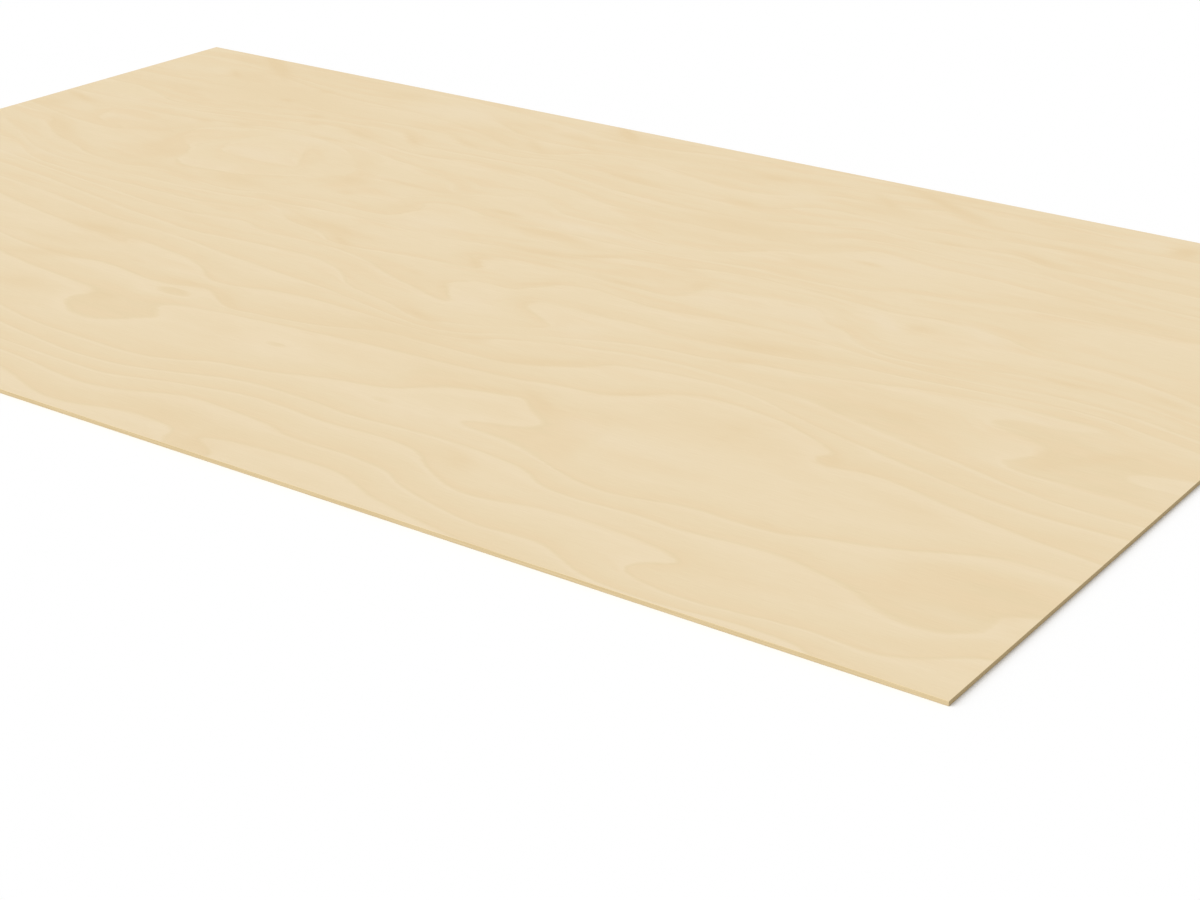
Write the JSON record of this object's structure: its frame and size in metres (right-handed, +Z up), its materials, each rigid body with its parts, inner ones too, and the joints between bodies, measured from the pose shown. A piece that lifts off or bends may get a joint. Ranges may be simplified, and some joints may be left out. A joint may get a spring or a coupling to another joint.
{
  "type": "wood veneer sheet",
  "caption": "Flat rectangular sheet of pale rotary-cut wood veneer stock, with square sawn edges, to be cut, glued up or used as facing.",
  "frame": {"origin": "middle of the back face, on the surface that the sheet lies on", "axes": "+Z up out of the show face, +X along the grain and the length, +Y across the grain and the width"},
  "size_m": [2.5, 1.525, 0.006],
  "materials": {
    "veneer": "fine-sanded, unfinished pale hardwood"
  },
  "bodies": {
    "root": {"veneer_sheet": "veneer"}
  },
  "joints": []
}
